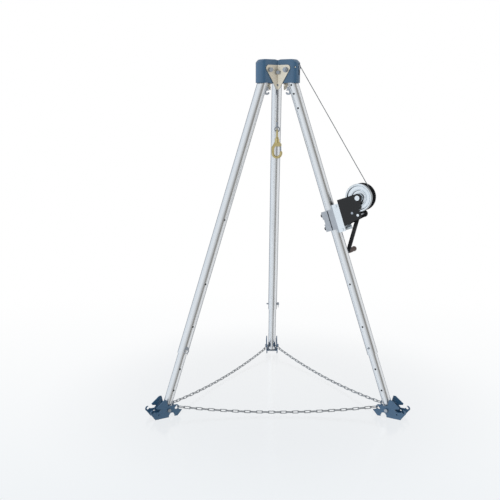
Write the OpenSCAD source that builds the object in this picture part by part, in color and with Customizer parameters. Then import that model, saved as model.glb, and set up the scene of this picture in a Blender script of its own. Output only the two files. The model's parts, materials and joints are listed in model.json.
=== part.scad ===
// Rescue tripod: three telescopic legs hinged in a painted head, a geared hand winch on one leg,
// a wire rope over two sheaves to a snap hook, and hinged claw feet tied together by a chain.
// Millimetres, +Z up, standing on the floor at z = 0.

/* [Stance] */
// Angle between each leg and the vertical, in degrees
splay = 19.2; // [15:0.1:24]
// Distance from the centre line to each leg hinge
hinge_r = 75; // [70:1:90]
// Distance along the leg from its hinge to its locking pin
hinge_to_pin = 1648; // [1400:1:2000]
// Distance along the leg from its locking pin to its foot pivot
pin_to_foot = 367; // [330:1:420]
// Height of the foot pivot above the floor
foot_pivot_h = 42; // [40:1:48]

/* [Tubes] */
// Outside diameter of the upper leg tube
upper_d = 60; // [56:0.5:62]
// Wall of the upper leg tube
upper_wall = 4; // [3.5:0.1:4.3]
// Outside diameter of the lower leg tube
lower_d = 50.8; // [46:0.2:51]
// Wall of the lower leg tube
lower_wall = 4; // [3:0.1:6]
// Step between the adjusting holes
hole_pitch = 127; // [110:1:140]
// Diameter of the adjusting holes
pin_hole_d = 11; // [10.8:0.1:14]
// Length of upper tube below the locking pin
pin_to_end = 40; // [30:1:60]
// Length of upper tube above the hinge
top_over_hinge = 16; // [12:1:16]
// Steps that the leg can still be drawn out
steps_out = 4; // [2:1:4]

/* [Head] */
// Wall of the painted head
head_wall = 6; // [4:0.5:8]
// Side clearance of a leg in its pocket
pocket_gap = 2; // [1.5:0.5:3]
// Height of the head above the leg hinges
head_up = 58; // [54:1:70]
// Depth of the head below the leg hinges
head_down = 72; // [60:1:75]
// Radius from the centre line to the round end of a pocket
pocket_end_r = 101.5; // [101:0.5:108]
// Diameter of the leg hinge bolts
hinge_bolt_d = 16; // [12:1:18]
// Thickness of the tie plates
plate_t = 6; // [4:0.5:8]
// Depth of a tie plate's tip below the leg hinges
plate_tip = 110; // [100:1:120]

/* [Feet] */
// Thickness of the foot's steel plate
foot_plate = 6; // [4:0.5:8]
// Side clearance of the leg in its foot
foot_gap = 8; // [4:0.5:12]
// Diameter of the foot pivot bolt
foot_bolt_d = 12; // [10:1:14]
// Reach of the claw outside the foot pivot
claw_reach = 115; // [110:1:125]
// Reach of the toe inside the foot pivot
toe_reach = 80; // [76:1:90]
// Diameter of the chain hole in each foot wall
chain_hole_d = 22; // [18:1:24]

/* [Chain] */
// Wire diameter of the chain
link_wire = 5; // [4:0.5:6]
// Clear width inside a link
link_inner_w = 8; // [7.5:0.5:10]
// Links between the two end links of a run, an odd number
run_links = 31; // [29:2:33]
// Sag of each run at the middle
chain_sag = 34; // [20:1:36]

/* [Winch] */
// Distance from the leg's centre line to the drum's axle
drum_x = 200; // [190:1:220]
// Distance along the leg from its hinge to the drum's axle
drum_s = 809; // [700:1:1000]
// Diameter of the drum flanges
flange_d = 155; // [150:1:160]
// Clear width between the drum flanges
drum_w = 52; // [48:1:56]
// Radius of the wound rope's centre line
wind_r = 60; // [58:1:64]
// Diameter of the wire rope
rope_d = 5; // [4:0.5:6]
// Turns in the outer layer of rope
wind_turns = 8; // [6:1:8]
// Length of the crank arm
crank_len = 250; // [200:1:280]
// Length of the crank grip
grip_len = 95; // [80:1:120]

/* [Hook] */
// Depth of the rope's end below the leg hinges
rope_end = 320; // [280:1:400]

/* [Hidden] */
$fn = 48;

// Named clearances
run_fit = 0.05;
free_gap = 0.4;
hole_gap = 0.5;

// Places that follow from the driving sizes
az_left = 210;
az_right = 330;
az_back = 90;
foot_s = hinge_to_pin + pin_to_foot;
hinge_h = foot_pivot_h + foot_s * cos(splay);
foot_r = hinge_r + foot_s * sin(splay);
foot_half = lower_d / 2 + foot_gap + foot_plate;
y_shift = -((foot_r + claw_reach) / 2 - foot_half * cos(30)) / 2;
pocket_half = upper_d / 2 + pocket_gap;
lobe_half = pocket_half + head_wall;
pin_d = pin_hole_d - 2 * hole_gap;
lower_top = hinge_to_pin - steps_out * hole_pitch - 70;

// Colours
blue = [0.14, 0.29, 0.45];
zinc = [0.78, 0.75, 0.68];
alloy = [0.76, 0.78, 0.80];
black = [0.06, 0.06, 0.065];
steel = [0.55, 0.57, 0.60];
gold = [0.66, 0.60, 0.38];
brown = [0.20, 0.11, 0.07];

// Frames: the tripod stands with its box centred on the origin
module stand() translate([0, y_shift, 0]) children();

// A leg's upright frame: x outwards, y along the hinge, z up from the hinge
module at_hinge(az) stand() rotate([0, 0, az]) translate([hinge_r, 0, hinge_h]) children();

// A leg's own frame: z runs up the leg from the hinge, x outwards
module at_leg(az) at_hinge(az) rotate([0, -splay, 0]) children();

// A foot's frame: x outwards from the foot pivot, z up from the floor
module at_foot(az) stand() rotate([0, 0, az]) translate([foot_r, 0, 0]) children();

// A round bar or hole along y, centred
module bar_y(d, len) rotate([90, 0, 0]) cylinder(d = d, h = len, center = true);

// A hexagon along y whose near face lies at y
module hex_y(across, len, y) translate([0, y, 0]) rotate([-90, 0, 0])
  cylinder(d = across / cos(30), h = len, $fn = 6);

// A hexagon along x whose near face lies at x
module hex_x(across, len, x) translate([x, 0, 0]) rotate([0, 90, 0])
  cylinder(d = across / cos(30), h = len, $fn = 6);

// Head: three pockets, each a round ended trough, joined at the centre
module trough(half, reach) {
  translate([0, -half]) square([reach, 2 * half]);
  translate([reach, 0]) circle(half, $fn = 64);
}

shoulder_r = pocket_end_r + 12;
shoulder_h = 24;
lobe_reach = pocket_end_r + lobe_half;
head_dip = 13;
dip_out = 55;
dip_in = 18;
roof = 8;
slot_w = 15;
axle_d = 8;
sheave_r = 18;
sheave_lip = 2;
sheave_w = 12;
sheave_z = 14;
leg_clear = 2.77;
entry_x = upper_d / 2 + sheave_r + sheave_lip + leg_clear - sheave_z * sin(splay);
entry_r = hinge_r + entry_x / cos(splay);

module head_profile(down, drop) {
  rotate_extrude($fn = 96)
    polygon([[0, -down], [lobe_reach + 1, -down], [lobe_reach + 1, head_up - shoulder_h - drop],
      [shoulder_r, head_up - drop], [dip_out, head_up - drop], [dip_in, head_up - head_dip - drop],
      [0, head_up - head_dip - drop]]);
}

module head_shell() color(blue) stand() translate([0, 0, hinge_h]) difference() {
  intersection() {
    translate([0, 0, -head_down]) linear_extrude(head_down + head_up) {
      for (az = [az_left, az_right, az_back]) rotate(az) trough(lobe_half, pocket_end_r);
    }
    head_profile(head_down, 0);
  }
  intersection() {
    translate([0, 0, -head_down - 1]) linear_extrude(head_down + head_up) {
      for (az = [az_left, az_right, az_back]) rotate(az) trough(pocket_half, pocket_end_r);
    }
    head_profile(head_down + 2, roof);
  }
  for (az = [az_left, az_right, az_back]) rotate([0, 0, az]) translate([hinge_r, 0, 0])
    bar_y(hinge_bolt_d + 2 * run_fit, 4 * lobe_half);
  // Rope slot in the right lobe, with the bore of the entry sheave's axle
  rotate([0, 0, az_right]) {
    translate([pocket_end_r, -slot_w / 2, -28]) cube([60, slot_w, 62]);
    translate([entry_r, 0, sheave_z]) bar_y(axle_d + 2 * run_fit, 4 * lobe_half);
  }
  // Tapped holes of the tie plates' centre bolts
  for (az = [30, 150, 270]) rotate([0, 0, az]) translate([corner_r, 0, centre_bolt_z])
    rotate([0, 90, 0]) rotate([0, 0, 45])
      cylinder(d = plate_bolt_d + 2 * run_fit, h = 40, center = true);
}

// Tie plate: two halves bent along the corner between two lobes
plate_bolt_d = 14;
centre_bolt_z = -14;
rope_leg_holes = [89, 141, 225];
plate_side = 80;
plate_up = 27;
plate_round = 17;
corner_r = lobe_half / sin(60);
bolt_u = hinge_r - corner_r * cos(60);

module half_plate() rotate([0, 0, 60]) rotate([90, 0, 0]) linear_extrude(plate_t) difference() {
  union() {
    polygon([[0, plate_up], [plate_side - plate_round, plate_up],
      [plate_side - 2, plate_up - plate_round - 8], [13, -plate_tip + 6], [0, -plate_tip]]);
    translate([plate_side - plate_round, plate_up - plate_round]) circle(plate_round);
  }
  translate([bolt_u, 0]) circle(d = hinge_bolt_d + 2 * run_fit);
}

module tie_plate(az) color(zinc) stand() rotate([0, 0, az]) translate([corner_r, 0, hinge_h])
  difference() {
    union() {
      half_plate();
      mirror([0, 1, 0]) half_plate();
    }
    translate([0, 0, centre_bolt_z]) rotate([0, 90, 0])
      cylinder(d = plate_bolt_d + 2 * run_fit, h = 60, center = true);
    // Anchor hole near the tip
    translate([0, 0, -84]) rotate([0, 90, 0]) cylinder(d = 13, h = 60, center = true);
  }

// Hinge bolts run right through a lobe and both tie plates beside it
hinge_grip = lobe_half + plate_t;
module hinge_bolts() color(steel) for (az = [az_left, az_right, az_back]) at_hinge(az) {
  bar_y(hinge_bolt_d, 2 * hinge_grip);
  hex_y(24, 10, hinge_grip);
  translate([0, -hinge_grip - 9, 0]) bar_y(hinge_bolt_d, 18);
}

module hinge_nuts() color(steel) for (az = [az_left, az_right, az_back]) at_hinge(az) difference() {
  union() {
    hex_y(24, 13, -hinge_grip - 15);
    translate([0, -hinge_grip - 1, 0]) bar_y(30, 2);
  }
  translate([0, -hinge_grip, 0]) bar_y(hinge_bolt_d + 2 * run_fit, 60);
}

// Centre bolt of each tie plate, driven into the corner of the head
plate_bolt_hex = 19;
plate_bolt_seat = plate_t / sin(60) + plate_bolt_hex / 2 / tan(60) + run_fit;
module plate_bolts() color(steel) for (az = [30, 150, 270]) stand() rotate([0, 0, az])
  translate([corner_r, 0, hinge_h + centre_bolt_z]) {
    translate([-head_wall, 0, 0]) rotate([0, 90, 0])
      cylinder(d = plate_bolt_d, h = head_wall + plate_bolt_seat);
    hex_x(plate_bolt_hex, 9, plate_bolt_seat);
  }

// Rope sheaves: one in the slot of the right lobe, one over the centre line
bore_r = axle_d / 2 + run_fit;
groove_r = rope_d / 2 + 0.15;
groove_flare = 0.3 * sheave_lip;
module sheave() rotate([90, 0, 0]) rotate_extrude() difference() {
  translate([bore_r, -sheave_w / 2]) square([sheave_r + sheave_lip - bore_r, sheave_w]);
  translate([sheave_r, 0]) circle(groove_r, $fn = 32);
  polygon([[sheave_r, -groove_r], [sheave_r + 2 * sheave_lip, -groove_r - 2 * groove_flare],
    [sheave_r + 2 * sheave_lip, groove_r + 2 * groove_flare], [sheave_r, groove_r]]);
}

module at_entry() stand() rotate([0, 0, az_right]) translate([entry_r, 0, hinge_h + sheave_z]) children();
module at_centre() stand() rotate([0, 0, az_right]) translate([sheave_r, 0, hinge_h + sheave_z]) children();
module entry_sheave() color(steel) at_entry() sheave();
module centre_sheave() color(steel) at_centre() sheave();
// The entry axle ends a little inside the lobe's round wall
axle_half = sqrt(pow(lobe_half, 2) - pow(entry_r - pocket_end_r, 2)) - head_wall / 2;
module entry_axle() color(zinc) at_entry() bar_y(axle_d, 2 * axle_half);
module centre_axle() color(zinc) at_centre() bar_y(axle_d, 2 * (cheek_y + bracket_t) + 4);

// Bracket that hangs from the roof of the head and carries the centre sheave
bracket_t = 4;
bracket_half = 9;
bracket_top = head_up - head_dip - roof;
cheek_y = sheave_w / 2 + free_gap;
module sheave_bracket() color(zinc) at_centre() difference() {
  for (y = [cheek_y, -cheek_y - bracket_t]) translate([-bracket_half, y, -bracket_half])
    cube([2 * bracket_half, bracket_t, bracket_top - sheave_z + bracket_half]);
  bar_y(axle_d + 2 * run_fit, 4 * (cheek_y + bracket_t));
}

// Upper leg tube, with its hinge bore, pin hole and spare holes
spare_holes = [1, 3, 6];
module upper_leg(az, extra) color(alloy) at_leg(az) difference() {
  translate([0, 0, -hinge_to_pin - pin_to_end])
    cylinder(d = upper_d, h = hinge_to_pin + pin_to_end + top_over_hinge, $fn = 64);
  translate([0, 0, -hinge_to_pin - pin_to_end - 1])
    cylinder(d = upper_d - 2 * upper_wall, h = hinge_to_pin + pin_to_end + top_over_hinge + 2,
      $fn = 64);
  bar_y(hinge_bolt_d + 2 * run_fit, 2 * upper_d);
  translate([0, 0, -hinge_to_pin]) bar_y(pin_hole_d, 2 * upper_d);
  for (k = spare_holes) translate([0, 0, -hinge_to_pin + k * hole_pitch])
    bar_y(pin_hole_d, 2 * upper_d);
  for (s = extra) translate([0, 0, -s]) bar_y(pin_hole_d, 2 * upper_d);
}

// Open hook on the inner side of each leg, just under the head
lug_s = 114;
lug_t = 10;
lug_x = upper_d / 2 + 14;
lug_r = 16;
lug_notch = 8;
module hook_lug(az) color(steel) at_leg(az) difference() {
  translate([0, lug_t / 2, -lug_s]) rotate([90, 0, 0]) linear_extrude(lug_t) difference() {
    union() {
      translate([-lug_x, 0]) circle(lug_r);
      translate([-lug_x, -4]) square([lug_r, 32]);
    }
    translate([-lug_x - 1, 1]) circle(lug_notch);
    translate([-lug_x - 26, -1]) rotate(12) square([25, 10]);
  }
  translate([0, 0, -lug_s]) cylinder(d = upper_d + 2 * run_fit, h = 120, center = true, $fn = 64);
}

// Lower leg tube with its row of adjusting holes
module lower_leg(az) color(alloy) at_leg(az) difference() {
  translate([0, 0, -foot_s - foot_tail])
    cylinder(d = lower_d, h = foot_s + foot_tail - lower_top, $fn = 64);
  translate([0, 0, -foot_s - foot_tail - 1])
    cylinder(d = lower_d - 2 * lower_wall, h = foot_s + foot_tail + 2, $fn = 64);
  for (k = [-2 : steps_out]) translate([0, 0, -hinge_to_pin + k * hole_pitch])
    bar_y(pin_hole_d, 2 * upper_d);
  translate([0, 0, -foot_s]) bar_y(foot_bolt_d + 2 * run_fit, 2 * upper_d);
}
foot_tail = 18;

// Locking pin: a plain round pin with a collar, a pull ring and a chamfered tip
pin_tip = 9;
pin_head = 5;
ring_r = 14;
ring_wire = 3;
module leg_pin(az, side) color(steel) at_leg(az) translate([0, 0, -hinge_to_pin]) mirror([0, side, 0]) {
  translate([0, upper_d / 2 + free_gap, 0]) rotate([90, 0, 0])
    cylinder(d = pin_d, h = upper_d + pin_tip + free_gap);
  translate([0, -upper_d / 2 - pin_tip, 0]) rotate([90, 0, 0])
    cylinder(d1 = pin_d, d2 = pin_d - 4, h = 4);
  difference() {
    translate([0, upper_d / 2 + free_gap, 0]) rotate([-90, 0, 0]) cylinder(d = pin_d + 8, h = pin_head + 9);
    translate([0, upper_d / 2 + free_gap + pin_head + 4, 0]) rotate([0, 90, 0])
      cylinder(d = ring_wire + 1, h = 40, center = true);
  }
  translate([0, upper_d / 2 + free_gap + pin_head + 4, -ring_r]) rotate([90, 0, 0])
    rotate_extrude() translate([ring_r, 0]) circle(d = ring_wire, $fn = 20);
}

// Foot: two claw shaped walls on a sole plate, with a toe towards the centre
hook_r = 15;
hook_hole = 8;
arch_r = 15;
tab_u = -46;
tab_z = 50;
tab_rim = 6;
module foot_wall() difference() {
  union() {
    polygon([[-toe_reach, 30], [-toe_reach + 28, 0], [claw_reach - 30, 0], [claw_reach - 5, 36],
      [claw_reach - 5, 44], [60, 42], [46, 56], [72, 62], [76, 69], [28, 106], [14, 106], [4, 64],
      [-28, 64], [-toe_reach + 22, 37]]);
    translate([tab_u, tab_z]) circle(chain_hole_d / 2 + tab_rim);
    translate([claw_reach - hook_r, 46]) circle(hook_r);
    translate([0, foot_pivot_h]) circle(26);
  }
  translate([tab_u, tab_z]) circle(d = chain_hole_d);
  translate([claw_reach - hook_r - 1, 48]) circle(hook_hole);
  translate([claw_reach - hook_r - 32, 46]) square([32, 14]);
  translate([0, foot_pivot_h]) circle(d = foot_bolt_d + 2 * run_fit);
  translate([62, 27]) circle(d = 9);
  // Arch where the chain can be led out
  translate([-16, 10]) circle(arch_r);
  translate([-34, -1]) square([36, 12]);
}

module foot(az) color(blue) at_foot(az) {
  for (y = [-foot_half, foot_half - foot_plate]) translate([0, y + foot_plate, 0])
    rotate([90, 0, 0]) linear_extrude(foot_plate) foot_wall();
  translate([2, -foot_half + foot_plate, 0])
    cube([claw_reach - 40, 2 * (foot_half - foot_plate), foot_plate]);
}

module foot_bolt(az) color(steel) at_foot(az) translate([0, 0, foot_pivot_h]) {
  bar_y(foot_bolt_d, 2 * foot_half + 2);
  hex_y(19, 8, foot_half);
  hex_y(19, 10, -foot_half - 10);
}

// Chain: separate welded links hung between two feet, with a wide link round each foot's rim
run_r = foot_r + tab_u - chain_hole_d / 2 - tab_rim / 2;
run_t = foot_half - foot_plate / 2;
run_half = run_r * cos(30) - run_t / 2;
run_y = -run_r / 2 - run_t * cos(30);
end_inner_w = 14;
end_straight = 24;
end_pull = 2.2;
end_x = run_half - end_pull - end_straight / 2;
link_play = 0.9;
link_reach = 2 * end_x - end_straight - end_inner_w + link_play;
link_step = link_reach / run_links;
function run_z(x) = tab_z - chain_sag * (1 - pow(x / run_half, 2));
function run_slope(x) = atan(2 * chain_sag * x / pow(run_half, 2));

module link(inner_w, straight) {
  bend_r = (inner_w + link_wire) / 2;
  for (end = [0, 180]) rotate([0, 0, end]) {
    translate([straight / 2, 0, 0]) rotate([0, 0, -90]) rotate_extrude(angle = 180)
      translate([bend_r, 0]) circle(d = link_wire, $fn = 20);
    translate([-straight / 2, bend_r, 0]) rotate([0, 90, 0])
      cylinder(d = link_wire, h = straight, $fn = 20);
  }
}

module on_run(x) translate([x, run_y, run_z(x)]) rotate([0, -run_slope(x), 0]) children();

module chain_run(az) color(steel) stand() rotate([0, 0, az]) {
  for (side = [-1, 1]) on_run(side * end_x) link(end_inner_w, end_straight);
  for (k = [0 : run_links - 1]) on_run((k + 0.5 - run_links / 2) * link_step)
    rotate([k % 2 == 0 ? 90 : 0, 0, 0]) link(link_inner_w, link_step + link_play - link_inner_w);
}

// Winch mounting: two clamp halves round the right leg, and a channel that carries the frame
mount_s = drum_s + 77;
block_half = 46;
block_s = [mount_s - 58, mount_s + 58];
block_in = 40;
block_out = 38;
block_groove = 28;
channel_s = [mount_s - 80, mount_s + 80];
channel_x = 78;
channel_t = 5;
clamp_bolt_d = 10;
clamp_t = 36;
clamp_s = [mount_s - 38, mount_s + 38];
split = 3;
module at_right() at_leg(az_right) children();

// A box given by its corners in the leg's frame, with s counted down the leg
module leg_box(x0, x1, t0, t1, s0, s1) translate([x0, t0, -s1]) cube([x1 - x0, t1 - t0, s1 - s0]);

module clamp_holes() for (t = [-clamp_t, clamp_t], s = clamp_s) translate([0, t, -s])
  rotate([0, 90, 0]) cylinder(d = clamp_bolt_d + 2 * run_fit, h = 4 * block_half, center = true);

module leg_bore() translate([0, 0, -mount_s])
  cylinder(d = upper_d + 2 * run_fit, h = 4 * block_half, center = true, $fn = 64);

module clamp_block() color(steel) at_right() difference() {
  leg_box(-block_in, -split, -block_half, block_half, block_s[0], block_s[1]);
  leg_bore();
  clamp_holes();
  leg_box(-block_in - 1, -block_in + 6, -block_half - 1, block_half + 1,
    mount_s - block_groove / 2, mount_s + block_groove / 2);
}

module mount_saddle() color(steel) at_right() difference() {
  leg_box(split, block_out, -block_half, block_half, block_s[0], block_s[1]);
  leg_bore();
  clamp_holes();
}

module mount_channel() color(zinc) at_right() difference() {
  leg_box(block_out, channel_x, -frame_half, frame_half, channel_s[0], channel_s[1]);
  leg_box(block_out + channel_t, channel_x + 1, -frame_half + channel_t, frame_half - channel_t,
    channel_s[0] - 1, channel_s[1] + 1);
  clamp_holes();
  for (s = frame_bolt_s) translate([frame_bolt_x, 0, -s])
    bar_y(frame_bolt_d + 2 * run_fit, 4 * frame_half);
}

module clamp_bolts() color(steel) at_right() for (t = [-clamp_t, clamp_t], s = clamp_s)
  translate([0, t, -s]) {
    translate([-block_in - 8, 0, 0]) rotate([0, 90, 0])
      cylinder(d = clamp_bolt_d, h = block_in + block_out + channel_t + 20);
    hex_x(16, 8, -block_in - 8);
    hex_x(16, 9, block_out + channel_t);
  }

// Winch frame: a folded bracket with two side plates that carry the drum and the pinion
frame_half = 50;
frame_t = 4;
frame_s = [mount_s - 99, mount_s + 52];
frame_bolt_d = 9;
frame_bolt_x = 60;
frame_bolt_s = [mount_s - 68, mount_s + 68];
gear_teeth = 75;
pinion_teeth = 15;
gear_module = 2;
gear_r = gear_teeth * gear_module / 2;
pinion_r = pinion_teeth * gear_module / 2;
pinion_dir = 127.4;
pinion_x = drum_x + (gear_r + pinion_r) * cos(pinion_dir);
pinion_s = drum_s + (gear_r + pinion_r) * sin(pinion_dir);
nose_x = pinion_x + 30;
nose_s = pinion_s + 20;
drum_axle_d = 20;
pinion_shaft_d = 14;

module side_plate() difference() {
  union() {
    polygon([[channel_x, -frame_s[0]], [drum_x - 62, -frame_s[0]], [drum_x - 8, -drum_s + 24],
      [drum_x + 22, -drum_s - 8], [pinion_x + 42, -pinion_s + 4], [pinion_x + 40, -pinion_s - 38],
      [channel_x, -frame_s[1]]]);
    translate([drum_x, -drum_s]) circle(24);
    translate([nose_x - 2, -nose_s - 2]) circle(20);
  }
  translate([drum_x, -drum_s]) circle(d = drum_axle_d + 2 * run_fit);
  translate([pinion_x, -pinion_s]) circle(d = pinion_shaft_d + 2 * run_fit);
  translate([nose_x, -nose_s]) circle(d = frame_bolt_d + 2 * run_fit);
}

module winch_frame() color(black) at_right() {
  for (t = [-frame_half, frame_half - frame_t]) translate([0, t + frame_t, 0]) rotate([90, 0, 0])
    linear_extrude(frame_t) side_plate();
  leg_box(channel_x, channel_x + frame_t, -frame_half + frame_t, frame_half - frame_t,
    frame_s[0], frame_s[1]);
}

// Through bolts across the channel, and one across the nose of the frame
module frame_bolts() color(zinc) at_right()
  for (p = [[frame_bolt_x, frame_bolt_s[0]], [frame_bolt_x, frame_bolt_s[1]], [nose_x, nose_s]])
    translate([p[0], 0, -p[1]]) {
      bar_y(frame_bolt_d, 2 * frame_half);
      hex_y(14, 6, frame_half);
      hex_y(14, 6, -frame_half - 6);
    }

module at_drum() at_right() translate([drum_x, 0, -drum_s]) children();
module at_pinion() at_right() translate([pinion_x, 0, -pinion_s]) children();

module drum_axle() color(zinc) at_drum() {
  bar_y(drum_axle_d, 2 * frame_half + 4);
  translate([0, -frame_half - 4, 0]) bar_y(drum_axle_d + 8, 8);
  translate([0, frame_half + 3, 0]) bar_y(drum_axle_d + 8, 6);
}

// A ring along y with a bore
module ring_y(r_out, r_in, y0, y1) translate([0, y1, 0]) rotate([90, 0, 0]) difference() {
  cylinder(r = r_out, h = y1 - y0, $fn = 96);
  translate([0, 0, -1]) cylinder(r = r_in, h = y1 - y0 + 2);
}

wind_rings = 24;
drum_core_r = (wind_r - rope_d / 2) * cos(180 / wind_rings) - 2 * run_fit;
flange_t = 4;
module winch_drum() color(black) at_drum() {
  ring_y(drum_core_r, drum_axle_d / 2 + run_fit, -drum_w / 2, drum_w / 2);
  ring_y(flange_d / 2, drum_axle_d / 2 + run_fit, drum_w / 2, drum_w / 2 + flange_t);
}

// Dished front flange with a rolled rim
module drum_cover() color(zinc) at_drum() translate([0, -drum_w / 2, 0]) rotate([90, 0, 0])
  rotate_extrude($fn = 96)
    polygon([[drum_axle_d / 2 + run_fit, 0], [flange_d / 2, 0], [flange_d / 2, 10],
      [flange_d / 2 - 3, 13], [flange_d / 2 - 9, 13], [flange_d / 2 - 12, 10], [flange_d / 2 - 14, 6],
      [48, 6], [45, 10], [41, 10], [38, 4], [24, 4], [20, 13], [drum_axle_d / 2 + run_fit, 13]]);

// Spur gears: straight sided teeth, thinner than half the pitch for backlash
function gear_points(teeth, turn) = [for (k = [0 : teeth - 1], p = [0 : 3])
  let (r0 = teeth * gear_module / 2,
    r = p == 0 || p == 3 ? r0 - 2.5 : r0 + 1.5,
    half = p == 0 || p == 3 ? 1.75 : 0.55,
    a = (k * 360 + turn) / teeth + (p < 2 ? -1 : 1) * half / r * 180 / PI)
  [r * cos(a), r * sin(a)]];

gear_y = [drum_w / 2 + flange_t, drum_w / 2 + flange_t + 8];
module drum_gear() color(steel) at_drum() translate([0, gear_y[1], 0]) rotate([90, 0, 0]) difference() {
  linear_extrude(gear_y[1] - gear_y[0]) rotate(-pinion_dir) polygon(gear_points(gear_teeth, 0));
  translate([0, 0, -1]) cylinder(r = drum_axle_d / 2 + run_fit, h = 20);
}

module pinion_shaft() color(steel) at_pinion() {
  translate([0, 7, 0]) bar_y(pinion_shaft_d, 2 * frame_half + 22);
  translate([0, gear_y[1], 0]) rotate([90, 0, 0]) linear_extrude(gear_y[1] - gear_y[0] - free_gap)
    rotate(180 - pinion_dir) polygon(gear_points(pinion_teeth, 180));
}

// Crank on the far side, hanging beside the leg
crank_dir = 124;
crank_y = frame_half + 8;
crank_t = 8;
crank_w = 22;
module at_crank() at_pinion() rotate([0, crank_dir, 0]) children();
module crank_arm() color(black) at_crank() translate([0, crank_y + crank_t, 0]) rotate([90, 0, 0])
  linear_extrude(crank_t) difference() {
    union() {
      translate([0, -crank_w / 2]) square([crank_len, crank_w]);
      translate([crank_len, 0]) circle(d = crank_w);
      circle(d = 34);
    }
    circle(d = pinion_shaft_d + 2 * run_fit);
    translate([crank_len, 0]) circle(d = 10 + 2 * run_fit);
  }

module grip_spindle() color(steel) at_crank() translate([crank_len, 0, 0]) {
  translate([0, crank_y - 2 + (grip_len + 16) / 2, 0]) bar_y(10, grip_len + 16);
  translate([0, crank_y + crank_t + grip_len + 2 * free_gap + 3, 0]) bar_y(16, 6);
}

module crank_grip() color(brown) at_crank()
  translate([crank_len, crank_y + crank_t + free_gap, 0]) rotate([-90, 0, 0]) rotate_extrude()
    polygon([[5 + run_fit, 0], [11, 0], [13, 6], [14.5, 35], [13.5, grip_len - 22],
      [15.5, grip_len - 8], [13, grip_len], [5 + run_fit, grip_len]]);

// Wire rope in the right leg's upright plane: from the drum, over the entry sheave, to the centre
drum_r = hinge_r + drum_x * cos(splay) + drum_s * sin(splay);
drum_z = drum_x * sin(splay) - drum_s * cos(splay);
rope_run = [entry_r - drum_r, sheave_z - drum_z];
rope_lean = (wind_r - sheave_r) / norm(rope_run);
rope_n = rope_lean * rope_run / norm(rope_run)
  + sqrt(1 - rope_lean * rope_lean) * [rope_run[1], -rope_run[0]] / norm(rope_run);
wind_half = drum_w / 2 - rope_d / 2 - free_gap;
leave = [drum_r + wind_r * rope_n[0], wind_half, drum_z + wind_r * rope_n[1]];
arrive = [entry_r + sheave_r * rope_n[0], 0, sheave_z + sheave_r * rope_n[1]];
rope_dir = (arrive - leave) / norm(arrive - leave);
rope_start = leave + rope_d * rope_dir;
module at_plane() stand() rotate([0, 0, az_right]) translate([0, 0, hinge_h]) children();

module rope_up() color(steel) at_plane() translate(rope_start)
  rotate([0, acos(rope_dir[2]), atan2(rope_dir[1], rope_dir[0])])
    cylinder(d = rope_d, h = norm(arrive - rope_start) - free_gap, $fn = 24);

arrive_angle = atan2(rope_n[1], rope_n[0]);
module rope_over() color(steel) at_plane() {
  translate([entry_r, 0, sheave_z]) rotate([90, 0, 0]) rotate([0, 0, arrive_angle])
    rotate_extrude(angle = 90 - arrive_angle) translate([sheave_r, 0]) circle(d = rope_d, $fn = 24);
  translate([sheave_r + run_fit, 0, sheave_z + sheave_r]) rotate([0, 90, 0])
    cylinder(d = rope_d, h = entry_r - sheave_r - 2 * run_fit, $fn = 24);
  translate([sheave_r, 0, sheave_z]) rotate([90, 0, 0]) rotate([0, 0, 90])
    rotate_extrude(angle = 90) translate([sheave_r, 0]) circle(d = rope_d, $fn = 24);
}

// Outer layer of rope on the drum, one unbroken tube
wind_sides = 6;
wind_pitch = 2 * wind_half / wind_turns;
function wind_point(i) = let (a = arrive_angle - 360 * (wind_turns - i / wind_rings),
  t = -wind_half + wind_pitch * i / wind_rings)
  [drum_r + wind_r * cos(a), t, drum_z + wind_r * sin(a)];
wind_path = concat([for (i = [0 : wind_turns * wind_rings]) wind_point(i)], [rope_start]);
turn_steps = [for (i = [0 : wind_rings * (wind_turns - 1)])
  norm(wind_point(i + wind_rings) - wind_point(i))];
echo(str("least gap between turns of rope: ", min(turn_steps) - rope_d));

function path_dir(p, i) = let (a = p[max(i - 1, 0)], b = p[min(i + 1, len(p) - 1)])
  (b - a) / norm(b - a);
function ring(c, d) = let (u = cross(d, [0, 1, 0]), v = cross(d, u))
  [for (k = [0 : wind_sides - 1]) let (a = 360 * k / wind_sides)
    c + rope_d / 2 * (cos(a) * u / norm(u) + sin(a) * v / norm(v))];

module tube(p) {
  n = len(p);
  points = [for (i = [0 : n - 1]) each ring(p[i], path_dir(p, i))];
  sides = [for (i = [0 : n - 2], k = [0 : wind_sides - 1])
    let (a = i * wind_sides, m = (k + 1) % wind_sides)
    each [[a + k, a + m, a + wind_sides + k], [a + m, a + wind_sides + m, a + wind_sides + k]]];
  last = (n - 1) * wind_sides;
  caps = [for (k = [1 : wind_sides - 2]) each [[0, k + 1, k], [last, last + k, last + k + 1]]];
  polyhedron(points, concat(sides, caps));
}

module rope_winding() color(steel) at_plane() tube(wind_path);

// Rope down the centre line to the hook
module rope_drop() color(steel) at_hook() cylinder(d = rope_d, h = rope_end + sheave_z, $fn = 24);

// Thimble eye and pressed ferrule on the rope's end
thimble_r = 14;
thimble_w = 7;
module torus(r, w) rotate([90, 0, 0]) rotate_extrude() translate([r, 0]) circle(d = w, $fn = 24);
module rope_thimble() color(steel) at_hook() difference() {
  union() {
    translate([0, 0, 2]) cylinder(d = 13, h = 26);
    translate([0, 0, -thimble_r - thimble_w / 2 + 4]) torus(thimble_r, thimble_w);
  }
  cylinder(d = rope_d + 2 * run_fit, h = 60);
}

// Swivel eye, snap hook and its sprung gate
eye_r = 20;
eye_w = 10;
eye_z = -thimble_r - thimble_w / 2 + 4 - thimble_r + thimble_w / 2 + eye_w / 2 + free_gap - eye_r;
stem_d = 11;
body_top = eye_z - eye_r - eye_w / 2 - 4;
barrel_d = 26;
barrel_h = 24;
hook_bend = 24;
hook_w = 16;
barrel_z = body_top - barrel_h;
bowl_z = barrel_z - 60;
hook_t = 14;
module at_hook() stand() translate([0, 0, hinge_h - rope_end]) children();

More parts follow.
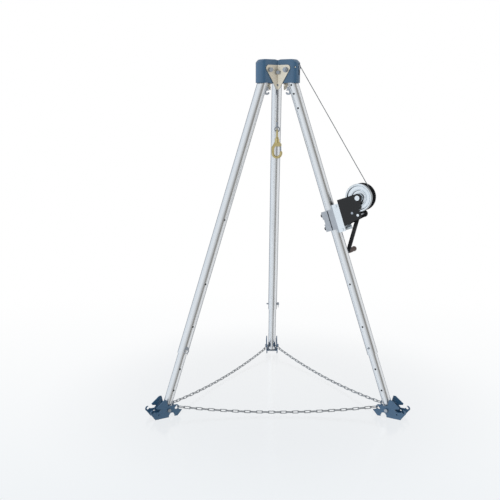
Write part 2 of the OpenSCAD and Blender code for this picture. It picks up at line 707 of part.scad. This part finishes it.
module hook_swivel() color(gold) at_hook() {
  translate([0, 0, eye_z]) rotate([0, 0, 90]) torus(eye_r, eye_w);
  translate([0, 0, barrel_z + 8]) cylinder(d = stem_d, h = barrel_h + 2);
  translate([0, 0, body_top + free_gap]) cylinder(d = 18, h = eye_z - eye_r - body_top);
}

module hook_body() color(gold) at_hook() difference() {
  union() {
    translate([0, 0, barrel_z]) cylinder(d = barrel_d, h = barrel_h);
    translate([0, hook_t / 2, 0]) rotate([90, 0, 0]) linear_extrude(hook_t)
      polygon([[-32, bowl_z], [-32, bowl_z + 34], [-13, barrel_z + 6], [13, barrel_z + 6],
        [26, barrel_z - 6], [26, barrel_z - 18], [10, barrel_z - 22], [-8, barrel_z - 20],
        [-16, bowl_z + 28], [-16, bowl_z]]);
    translate([0, 0, bowl_z]) rotate([90, 0, 0]) rotate([0, 0, 180]) rotate_extrude(angle = 190)
      translate([hook_bend, 0]) circle(d = hook_w, $fn = 32);
    translate([hook_bend * cos(10), 0, bowl_z + hook_bend * sin(10)]) sphere(d = hook_w, $fn = 32);
  }
  translate([0, 0, barrel_z + 7]) cylinder(d = stem_d + 2 * run_fit, h = 60);
  // Slot in which the gate swings
  translate([4, -gate_t / 2 - free_gap, barrel_z - 40]) cube([40, gate_t + 2 * free_gap, 37]);
  translate([gate_x, 0, gate_z]) bar_y(5 + 2 * run_fit, 60);
}

gate_t = 7;
gate_x = 19;
gate_z = barrel_z - 11;
gate_foot = bowl_z + hook_bend * sin(10) + hook_w / 2 + hole_gap;
module hook_gate() color(steel) at_hook() translate([0, gate_t / 2, 0]) rotate([90, 0, 0])
  linear_extrude(gate_t) difference() {
    polygon([[gate_x - 3, gate_z + 5.5], [gate_x + 3, gate_z + 5.5], [gate_x + 5.5, gate_z + 3],
      [gate_x + 7, gate_foot], [gate_x - 2, gate_foot], [gate_x - 5.5, gate_z + 3]]);
    translate([gate_x, gate_z]) circle(d = 5 + 2 * run_fit);
  }

module gate_pin() color(steel) at_hook() translate([gate_x, 0, gate_z]) bar_y(5, hook_t);

head_shell();
tie_plate(270);  // tie_plate_front
tie_plate(30);  // tie_plate_right
tie_plate(150);  // tie_plate_left
hinge_bolts();
hinge_nuts();
plate_bolts();
sheave_bracket();
entry_axle();
centre_axle();
entry_sheave();
centre_sheave();
upper_leg(az_left, []);  // upper_leg_left
upper_leg(az_right, rope_leg_holes);  // upper_leg_right
upper_leg(az_back, []);  // upper_leg_back
hook_lug(az_left);  // hook_lug_left
hook_lug(az_right);  // hook_lug_right
hook_lug(az_back);  // hook_lug_back
lower_leg(az_left);  // lower_leg_left
lower_leg(az_right);  // lower_leg_right
lower_leg(az_back);  // lower_leg_back
leg_pin(az_left, 0);  // leg_pin_left
leg_pin(az_right, 0);  // leg_pin_right
leg_pin(az_back, 1);  // leg_pin_back
foot(az_left);  // foot_left
foot(az_right);  // foot_right
foot(az_back);  // foot_back
foot_bolt(az_left);  // foot_bolt_left
foot_bolt(az_right);  // foot_bolt_right
foot_bolt(az_back);  // foot_bolt_back
chain_run(0);  // chain_front
chain_run(120);  // chain_right
chain_run(240);  // chain_left
clamp_block();
mount_saddle();
mount_channel();
clamp_bolts();
winch_frame();
frame_bolts();
drum_axle();
winch_drum();
drum_gear();
drum_cover();
rope_winding();
pinion_shaft();
crank_arm();
grip_spindle();
crank_grip();
rope_up();
rope_over();
rope_drop();
rope_thimble();
hook_swivel();
hook_body();
hook_gate();
gate_pin();
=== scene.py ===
"""Looks of the rescue tripod: finishes, stranded wire rope, chain halves, stage, lights and camera."""

import json
import math

import bmesh
import bpy
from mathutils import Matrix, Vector


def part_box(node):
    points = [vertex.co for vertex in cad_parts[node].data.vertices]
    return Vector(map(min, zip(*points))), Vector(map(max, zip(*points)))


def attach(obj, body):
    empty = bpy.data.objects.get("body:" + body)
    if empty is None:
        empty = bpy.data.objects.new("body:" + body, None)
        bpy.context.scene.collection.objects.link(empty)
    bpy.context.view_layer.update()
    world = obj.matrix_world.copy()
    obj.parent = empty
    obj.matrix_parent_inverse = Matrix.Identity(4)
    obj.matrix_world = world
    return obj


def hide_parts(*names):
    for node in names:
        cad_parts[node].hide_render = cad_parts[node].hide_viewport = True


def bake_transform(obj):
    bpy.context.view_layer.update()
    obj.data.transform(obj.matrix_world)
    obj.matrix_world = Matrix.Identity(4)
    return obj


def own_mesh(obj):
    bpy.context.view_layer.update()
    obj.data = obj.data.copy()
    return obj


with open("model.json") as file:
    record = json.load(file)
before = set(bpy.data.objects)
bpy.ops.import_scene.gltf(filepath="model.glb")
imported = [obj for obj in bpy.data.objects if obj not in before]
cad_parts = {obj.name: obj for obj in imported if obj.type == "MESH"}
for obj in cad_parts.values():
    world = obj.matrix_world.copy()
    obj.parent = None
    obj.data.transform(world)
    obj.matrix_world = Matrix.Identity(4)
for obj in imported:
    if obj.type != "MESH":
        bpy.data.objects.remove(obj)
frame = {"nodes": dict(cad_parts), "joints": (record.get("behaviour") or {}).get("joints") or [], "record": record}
nodes = frame["nodes"]
joints = {joint["name"]: joint for joint in frame["joints"]}
slot_of = {part["node"]: part["material_slot"] for part in frame["record"]["subparts"]}
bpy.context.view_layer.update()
scene = bpy.context.scene

# Sizes shared with the solids, in metres
ROPE_R = 0.0025
SHEAVE_R = 0.018
DRUM_W = 0.052
WIND_R = 0.060
WIND_TURNS = 8
WIND_GAP = 0.0004
RUN_LINKS = 33

# Make-up of the wire rope: a core and strands, the length of one lay, and the faces round a strand
STRANDS = 6
STRAND_R = ROPE_R / 3
STRAND_SIDES = 6
ROPE_LAY = 0.034

# Spacing of the rings along the straight rope, over the sheaves and round the drum
STRAIGHT_STEP = 0.003
SHEAVE_STEP = 0.0025
DRUM_STEP = 0.006
ARC_POINTS = 12
TURN_POINTS = 40

# Chain: the legs that each run ties, the links at each end that are kept apart from the rest,
# and the distance within which loose vertices are welded
CHAIN_ENDS = {
    "chain_front": ("left", "right"),
    "chain_right": ("right", "back"),
    "chain_left": ("back", "left"),
}
END_LINKS = 3
WELD = 1e-5

# Finishes: depth of the fine bump, and the angle over which an edge is sharp
BUMP_DEPTH = 0.0005
SHARP_ANGLE = math.radians(32)

# Floor film: it mirrors most under the object and fades out between two distances
FLOOR_SIZE = 5
FLOOR_AT = (0, -0.2, -0.0005)
FILM_FADE = (0.55, 1.55)
FILM_MIRROR = 0.15
FILM_ROUGHNESS = 0.16
FILM_TINT = (0.95, 0.96, 0.97)

# Backdrop: a pale tone low down that turns white, between two heights of the view direction
SKY_SPAN = (-0.52, 0.12)
SKY_LOW = (0.86, 0.89, 0.915)
SKY_WHITE_FROM = 0.42

# Tall panels round the studio, by their share of a turn, that streak the tubes with light and shade
PANEL_STRENGTH = 1.12
PANELS = [(0.00, (0.86, 0.92, 0.98)), (0.16, (0.90, 0.94, 0.98)), (0.27, (0.62, 0.64, 0.66)),
          (0.32, (0.26, 0.25, 0.23)), (0.37, (0.28, 0.27, 0.25)), (0.43, (0.88, 0.90, 0.92)),
          (0.54, (0.92, 0.93, 0.94)), (0.64, (0.34, 0.35, 0.37)), (0.74, (0.42, 0.44, 0.47)),
          (0.86, (0.34, 0.36, 0.40)), (0.93, (0.80, 0.87, 0.94))]

# Camera, fitted to the photo's legs, feet and head
LENS = 51.87
SENSOR = 36
CAMERA_AT = (-0.158, -4.452, 1.739)
CAMERA_PITCH = math.radians(11.23)


# Helpers
def add_object(name, data):
    """A new object in the scene."""
    thing = bpy.data.objects.new(name, data)
    scene.collection.objects.link(thing)
    return thing


def opaque(colour):
    """A colour with full alpha."""
    return (*colour, 1)


# Shader helpers
def new_material(name, colour, metallic, roughness):
    """A principled material and the handles that its procedural detail needs."""
    material = bpy.data.materials.new(name)
    material.use_nodes = True
    tree = material.node_tree
    shader = tree.nodes["Principled BSDF"]
    shader.inputs["Base Color"].default_value = opaque(colour)
    shader.inputs["Metallic"].default_value = metallic
    shader.inputs["Roughness"].default_value = roughness
    return material, tree, shader


def noise(tree, scale, stretch=(1, 1, 1), detail=3):
    """A noise texture on object coordinates, stretched along an axis where asked."""
    place = tree.nodes.new("ShaderNodeTexCoord")
    mapping = tree.nodes.new("ShaderNodeMapping")
    mapping.inputs["Scale"].default_value = stretch
    texture = tree.nodes.new("ShaderNodeTexNoise")
    texture.inputs["Scale"].default_value = scale
    texture.inputs["Detail"].default_value = detail
    tree.links.new(place.outputs["Object"], mapping.inputs["Vector"])
    tree.links.new(mapping.outputs["Vector"], texture.inputs["Vector"])
    return texture.outputs["Fac"]


def vary_roughness(tree, shader, value, low, high):
    """Lets the roughness drift between two values."""
    spread = tree.nodes.new("ShaderNodeMapRange")
    spread.inputs["To Min"].default_value = low
    spread.inputs["To Max"].default_value = high
    tree.links.new(value, spread.inputs["Value"])
    tree.links.new(spread.outputs["Result"], shader.inputs["Roughness"])


def mottle(tree, shader, value, dark, light):
    """Lets the base colour drift between two tones."""
    mix = tree.nodes.new("ShaderNodeMix")
    mix.data_type = "RGBA"
    mix.inputs["A"].default_value = opaque(dark)
    mix.inputs["B"].default_value = opaque(light)
    tree.links.new(value, mix.inputs["Factor"])
    tree.links.new(mix.outputs["Result"], shader.inputs["Base Color"])


def surface(tree, shader, edge, height, strength):
    """Softens edges with a bevelled normal and adds a fine bump."""
    bevel = tree.nodes.new("ShaderNodeBevel")
    bevel.inputs["Radius"].default_value = edge
    bump = tree.nodes.new("ShaderNodeBump")
    bump.inputs["Strength"].default_value = strength
    bump.inputs["Distance"].default_value = BUMP_DEPTH
    tree.links.new(height, bump.inputs["Height"])
    tree.links.new(bevel.outputs["Normal"], bump.inputs["Normal"])
    tree.links.new(bump.outputs["Normal"], shader.inputs["Normal"])


# Materials
def painted(name, dark, light, roughness, coat=0.35, specular=0.5):
    """Powder coat: two close tones, a soft orange peel and a clear coat."""
    material, tree, shader = new_material(name, light, 0, roughness)
    mottle(tree, shader, noise(tree, scale=9), dark, light)
    surface(tree, shader, edge=0.0012, height=noise(tree, scale=420), strength=0.12)
    shader.inputs["Coat Weight"].default_value = coat
    shader.inputs["Coat Roughness"].default_value = 0.12
    shader.inputs["Specular IOR Level"].default_value = specular
    return material


def plated(name, dark, light, roughness, scale=55, edge=0.0008):
    """Plated or machined metal with a faint clouding."""
    material, tree, shader = new_material(name, light, 1, roughness)
    cloud = noise(tree, scale)
    mottle(tree, shader, cloud, dark, light)
    vary_roughness(tree, shader, cloud, roughness - 0.04, roughness + 0.05)
    surface(tree, shader, edge, height=noise(tree, scale=600), strength=0.02)
    return material


def tube_alloy():
    """Drawn aluminium tube: bright, with faint draw lines and hand marks."""
    along_tube = (1, 1, 0.02)
    material, tree, shader = new_material("tube_alloy", (0.76, 0.77, 0.78), 1, 0.26)
    marks = noise(tree, scale=14, stretch=(1, 1, 0.25), detail=5)
    mottle(tree, shader, marks, (0.66, 0.67, 0.68), (0.75, 0.76, 0.77))
    vary_roughness(tree, shader, noise(tree, 160, along_tube), low=0.21, high=0.31)
    surface(tree, shader, edge=0.0006, height=noise(tree, 300, along_tube), strength=0.05)
    return material


def moulded(name, colour, roughness):
    """Moulded grip plastic with a fine grain."""
    material, tree, shader = new_material(name, colour, 0, roughness)
    mottle(tree, shader, noise(tree, scale=30), [0.7 * c for c in colour], colour)
    surface(tree, shader, edge=0.001, height=noise(tree, scale=1500), strength=0.2)
    return material


finishes = {
    "blue_paint": painted("blue_paint", (0.030, 0.086, 0.160), (0.040, 0.110, 0.200), 0.34),
    "black_paint": painted("black_paint", (0.008, 0.008, 0.009), (0.012, 0.012, 0.013), 0.36,
                           coat=0.08, specular=0.28),
    "zinc_plate": plated("zinc_plate", (0.66, 0.60, 0.49), (0.76, 0.70, 0.58), 0.36, scale=24),
    "leg_alloy": tube_alloy(),
    "bolt_steel": plated("bolt_steel", (0.28, 0.31, 0.35), (0.42, 0.45, 0.49), 0.32),
    "chain_steel": plated("chain_steel", (0.34, 0.35, 0.36), (0.48, 0.49, 0.50), 0.38, scale=90),
    "wire_rope": plated("wire_rope", (0.24, 0.25, 0.26), (0.36, 0.37, 0.38), 0.46, scale=300, edge=0.0002),
    "hook_zinc": plated("hook_zinc", (0.52, 0.42, 0.18), (0.68, 0.58, 0.30), 0.30, scale=70),
    "clamp_alloy": plated("clamp_alloy", (0.34, 0.36, 0.39), (0.46, 0.48, 0.51), 0.42),
    "grip_plastic": moulded("grip_plastic", (0.060, 0.028, 0.016), 0.45),
}

# The bright pieces of the winch are a cooler zinc than the tie plates, and its clamp's bolts are dark
blue_zinc = plated("blue_zinc", (0.66, 0.70, 0.73), (0.76, 0.80, 0.83), 0.26, scale=16)
dark_bolt = plated("dark_bolt", (0.05, 0.05, 0.055), (0.08, 0.08, 0.085), 0.34)
own_finish = {name: blue_zinc for name in ("drum_cover", "mount_channel", "frame_bolts", "drum_axle")}
own_finish["clamp_bolts"] = dark_bolt


def dress_solids():
    """Gives every solid its finish, and smooth shading that stops at real edges."""
    for name, node in nodes.items():
        mesh = node.data
        mesh.materials.clear()
        mesh.materials.append(own_finish.get(name, finishes[slot_of[name]]))
        mesh.polygons.foreach_set("use_smooth", [True] * len(mesh.polygons))
        mesh.set_sharp_from_angle(angle=SHARP_ANGLE)


dress_solids()


# Wire rope along any path
def resample(points, step):
    """Points at an even step along a polyline."""
    out = [Vector(points[0])]
    need = step
    for a, b in zip(points, points[1:]):
        length, done = (b - a).length, 0.0
        while length - done >= need:
            done += need
            out.append(a.lerp(b, done / length))
            need = step
        need -= length - done
    if (out[-1] - points[-1]).length > step / 3:
        out.append(Vector(points[-1]))
    return out


def carried_places(path):
    """Each point of a path with two directions square to it, carried along without twist."""
    places, side = [], None
    for i, point in enumerate(path):
        along = (path[min(i + 1, len(path) - 1)] - path[max(i - 1, 0)]).normalized()
        if side is None:
            side = along.orthogonal().normalized()
        side = (side - along * side.dot(along)).normalized()
        places.append((point, side, along.cross(side)))
    return places


def beside(place, radius, turn):
    """A point beside a path, at a share of a turn round it."""
    point, side, other = place
    angle = 2 * math.pi * turn
    return point + radius * (math.cos(angle) * side + math.sin(angle) * other)


def add_strand(vertices, faces, places):
    """Appends one closed tube round a path's places."""
    base, last, sides = len(vertices), len(places) - 1, STRAND_SIDES
    for place in places:
        vertices.extend(beside(place, STRAND_R, k / sides) for k in range(sides))
    for i in range(last):
        ring = base + i * sides
        for k in range(sides):
            m = (k + 1) % sides
            faces.append((ring + k, ring + m, ring + sides + m, ring + sides + k))
    faces.append(tuple(base + k for k in reversed(range(sides))))
    faces.append(tuple(base + last * sides + k for k in range(sides)))


def laid_path(places, start):
    """The middle of one strand, which winds round the core from a share of a turn."""
    middle, run = [], 0.0
    for i, place in enumerate(places):
        run += (place[0] - places[i - 1][0]).length if i else 0.0
        middle.append(beside(place, ROPE_R - STRAND_R, run / ROPE_LAY + start))
    return middle


def wire_rope(name, points, step):
    """A rope along points, with its strands laid round a core."""
    core = carried_places(resample(points, step))
    vertices, faces = [], []
    add_strand(vertices, faces, core)
    for s in range(STRANDS):
        add_strand(vertices, faces, carried_places(laid_path(core, s / STRANDS)))
    mesh = bpy.data.meshes.new(name)
    mesh.from_pydata([tuple(v) for v in vertices], [], faces)
    mesh.polygons.foreach_set("use_smooth", [len(p.vertices) == 4 for p in mesh.polygons])
    mesh.materials.append(finishes["wire_rope"])
    rope = add_object(name, mesh)
    return rope


# The rope's route, in the upright plane of the winch's leg
drum = Vector(joints["drum_turn"]["pos_m"])
across = Vector(joints["drum_turn"]["axis"])
entry = Vector(joints["entry_turn"]["pos_m"])
centre = Vector(joints["centre_turn"]["pos_m"])
up = Vector((0, 0, 1))
outward = across.cross(up)
top = math.pi / 2
inner_side = math.pi
wind_half = DRUM_W / 2 - ROPE_R - WIND_GAP


def tangent_angle():
    """Angle of the rope's touch points on the drum and on the entry sheave."""
    run = entry - drum
    x, z = run.dot(outward), run.dot(up)
    lean = (WIND_R - SHEAVE_R) / math.hypot(x, z)
    rise = math.sqrt(1 - lean * lean)
    return math.atan2(lean * z - rise * x, lean * x + rise * z)


def on_wheel(hub, radius, angle, shift=0.0):
    """A point on a wheel's rim, shifted along its axle."""
    return hub + radius * (math.cos(angle) * outward + math.sin(angle) * up) + shift * across


def arc(hub, start, end):
    """Points round a sheave from one angle to another."""
    return [on_wheel(hub, SHEAVE_R, start + (end - start) * k / ARC_POINTS) for k in range(ARC_POINTS + 1)]


touch = tangent_angle()


def rope_to_head():
    """The taut rope from the drum up to the entry sheave."""
    leave = on_wheel(drum, WIND_R, touch, wind_half)
    arrive = on_wheel(entry, SHEAVE_R, touch)
    rope = wire_rope("wire_rope_up", [leave, arrive], STRAIGHT_STEP)
    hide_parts("rope_up")
    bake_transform(rope)


def rope_over_sheaves():
    """The rope over both sheaves in the head."""
    route = arc(entry, touch, top) + arc(centre, top, inner_side)
    rope = wire_rope("wire_rope_over", route, SHEAVE_STEP)
    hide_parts("rope_over")
    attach(rope, "head")


def rope_to_hook():
    """The rope that hangs from the centre sheave to the thimble."""
    start = on_wheel(centre, SHEAVE_R, inner_side)
    end = Vector((start.x, start.y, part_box("rope_drop")[0].z))
    rope = wire_rope("wire_rope_drop", [start, end], STRAIGHT_STEP)
    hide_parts("rope_drop")
    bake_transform(rope)


def rope_on_drum():
    """The outer layer of turns on the drum, which ends where the taut rope leaves."""
    count = TURN_POINTS * WIND_TURNS
    turns = []
    for i in range(count + 1):
        angle = touch - 2 * math.pi * (WIND_TURNS - i / TURN_POINTS)
        turns.append(on_wheel(drum, WIND_R, angle, wind_half * (2 * i / count - 1)))
    rope = wire_rope("wire_rope_wound", turns, DRUM_STEP)
    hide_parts("rope_winding")
    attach(rope, "drum")


rope_to_head()
rope_over_sheaves()
rope_to_hook()
rope_on_drum()


# Chain: each half of a run follows its own leg, while its end links stay where they are
def links_of(run, along):
    """The links of a chain mesh as lists of vertices, in their order along the run."""
    links, seen = [], set()
    for first in run.verts:
        if first in seen:
            continue
        link = [first]
        seen.add(first)
        for vert in link:
            fresh = [v for v in (e.other_vert(vert) for e in vert.link_edges) if v not in seen]
            link += fresh
            seen.update(fresh)
        links.append(link)
    return sorted(links, key=lambda link: sum(v.co.dot(along) for v in link) / len(link))


def chain_piece(name, node, along, first, last):
    """A piece with some of a run's links, counted along the run."""
    run = bmesh.new()
    run.from_mesh(nodes[node].data)
    bmesh.ops.remove_doubles(run, verts=run.verts, dist=WELD)
    links = links_of(run, along)
    spare = [v for link in links[:first] + links[last:] for v in link]
    bmesh.ops.delete(run, geom=spare, context="VERTS")
    mesh = bpy.data.meshes.new(name)
    run.to_mesh(mesh)
    run.free()
    mesh.materials.append(finishes[slot_of[node]])
    piece = add_object(name, mesh)
    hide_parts(node)
    return piece


def chain_half(node, leg, other, count):
    """A run's links from one foot to the middle: the end links stay where they are, and the others go with the
    leg's shin.
    """
    foot, far_foot = (Vector(joints[f"foot_{side}_tilt"]["pos_m"]) for side in (leg, other))
    along = (far_foot - foot).normalized()
    end = chain_piece(f"{node}_{leg}_end", node, along, 0, END_LINKS)
    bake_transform(end)
    rest = chain_piece(f"{node}_{leg}_links", node, along, END_LINKS, count)
    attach(rest, "shin_" + leg)
    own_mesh(rest)


for run_node, (one_leg, other_leg) in CHAIN_ENDS.items():
    chain_half(run_node, one_leg, other_leg, RUN_LINKS // 2 + 1)
    chain_half(run_node, other_leg, one_leg, RUN_LINKS // 2)


# Stage
def floor_film():
    """A clear film that mirrors faintly, and fades out away from the object."""
    material = bpy.data.materials.new("floor_film")
    material.use_nodes = True
    tree = material.node_tree
    tree.nodes.clear()
    add, join = tree.nodes.new, tree.links.new
    place = add("ShaderNodeTexCoord")
    reach = add("ShaderNodeVectorMath")
    reach.operation = "LENGTH"
    fade = add("ShaderNodeMapRange")
    fade.interpolation_type = "SMOOTHSTEP"
    fade.inputs["From Min"].default_value, fade.inputs["From Max"].default_value = FILM_FADE
    fade.inputs["To Min"].default_value = FILM_MIRROR
    fade.inputs["To Max"].default_value = 0
    clear = add("ShaderNodeBsdfTransparent")
    gloss = add("ShaderNodeBsdfGlossy")
    gloss.inputs["Roughness"].default_value = FILM_ROUGHNESS
    gloss.inputs["Color"].default_value = opaque(FILM_TINT)
    mix = add("ShaderNodeMixShader")
    out = add("ShaderNodeOutputMaterial")
    join(place.outputs["Object"], reach.inputs[0])
    join(reach.outputs["Value"], fade.inputs["Value"])
    join(fade.outputs["Result"], mix.inputs["Fac"])
    join(clear.outputs["BSDF"], mix.inputs[1])
    join(gloss.outputs["BSDF"], mix.inputs[2])
    join(mix.outputs["Shader"], out.inputs["Surface"])
    return material


def lay_floor():
    """A plane under the feet with the film on it."""
    bpy.ops.mesh.primitive_plane_add(size=FLOOR_SIZE, location=FLOOR_AT)
    floor = bpy.context.object
    floor.name = "floor"
    floor.data.materials.append(floor_film())


def backdrop(tree, place):
    """What the camera sees behind the object: a pale tone that turns white with height."""
    add, join = tree.nodes.new, tree.links.new
    split = add("ShaderNodeSeparateXYZ")
    height = add("ShaderNodeMapRange")
    height.inputs["From Min"].default_value, height.inputs["From Max"].default_value = SKY_SPAN
    ramp = add("ShaderNodeValToRGB")
    low, high = ramp.color_ramp.elements
    low.color = opaque(SKY_LOW)
    high.color = opaque((1, 1, 1))
    high.position = SKY_WHITE_FROM
    seen = add("ShaderNodeBackground")
    join(place.outputs["Generated"], split.inputs["Vector"])
    join(split.outputs["Z"], height.inputs["Value"])
    join(height.outputs["Result"], ramp.inputs["Fac"])
    join(ramp.outputs["Color"], seen.inputs["Color"])
    return seen


def studio_panels(tree, place):
    """What lights the object: the panels, spread round a full turn."""
    add, join = tree.nodes.new, tree.links.new
    turn = add("ShaderNodeTexGradient")
    turn.gradient_type = "RADIAL"
    ramp = add("ShaderNodeValToRGB")
    ramp.color_ramp.interpolation = "EASE"
    for end in ramp.color_ramp.elements:
        end.color = opaque(PANELS[0][1])
    for share, colour in PANELS[1:]:
        ramp.color_ramp.elements.new(share).color = opaque(colour)
    light = add("ShaderNodeBackground")
    light.inputs["Strength"].default_value = PANEL_STRENGTH
    join(place.outputs["Generated"], turn.inputs["Vector"])
    join(turn.outputs["Fac"], ramp.inputs["Fac"])
    join(ramp.outputs["Color"], light.inputs["Color"])
    return light


def build_studio():
    """The world: the backdrop for the camera, and the panels for every other ray."""
    world = bpy.data.worlds.new("studio")
    scene.world = world
    world.use_nodes = True
    tree = world.node_tree
    tree.nodes.clear()
    add, join = tree.nodes.new, tree.links.new
    place = add("ShaderNodeTexCoord")
    rays = add("ShaderNodeLightPath")
    mix = add("ShaderNodeMixShader")
    out = add("ShaderNodeOutputWorld")
    join(rays.outputs["Is Camera Ray"], mix.inputs["Fac"])
    join(studio_panels(tree, place).outputs["Background"], mix.inputs[1])
    join(backdrop(tree, place).outputs["Background"], mix.inputs[2])
    join(mix.outputs["Shader"], out.inputs["Surface"])


def area_light(name, place, aim, size, power):
    """A soft lamp that lights the object but doesn't show as a glare."""
    data = bpy.data.lights.new(name, "AREA")
    data.shape = "RECTANGLE"
    data.size, data.size_y = size
    data.energy = power
    lamp = add_object(name, data)
    lamp.visible_glossy = False
    lamp.location = place
    lamp.rotation_euler = (Vector(aim) - Vector(place)).to_track_quat("-Z", "Y").to_euler()


def place_camera():
    """The camera at the photo's viewing angle."""
    data = bpy.data.cameras.new("camera")
    data.lens = LENS
    data.sensor_width = SENSOR
    camera = add_object("camera", data)
    camera.location = CAMERA_AT
    camera.rotation_euler = (math.pi / 2 - CAMERA_PITCH, 0, 0)
    scene.camera = camera


lay_floor()
build_studio()
area_light("key", place=(-2.6, -3.2, 3.4), aim=(0, 0, 1.0), size=(1.6, 2.4), power=40)
area_light("fill", place=(3.2, -2.4, 2.2), aim=(0, 0, 1.0), size=(1.4, 2.6), power=20)
area_light("rim", place=(0.6, 2.0, 4.6), aim=(0, 0, 1.2), size=(2.2, 1.4), power=30)
place_camera()
scene.view_settings.view_transform = "Standard"
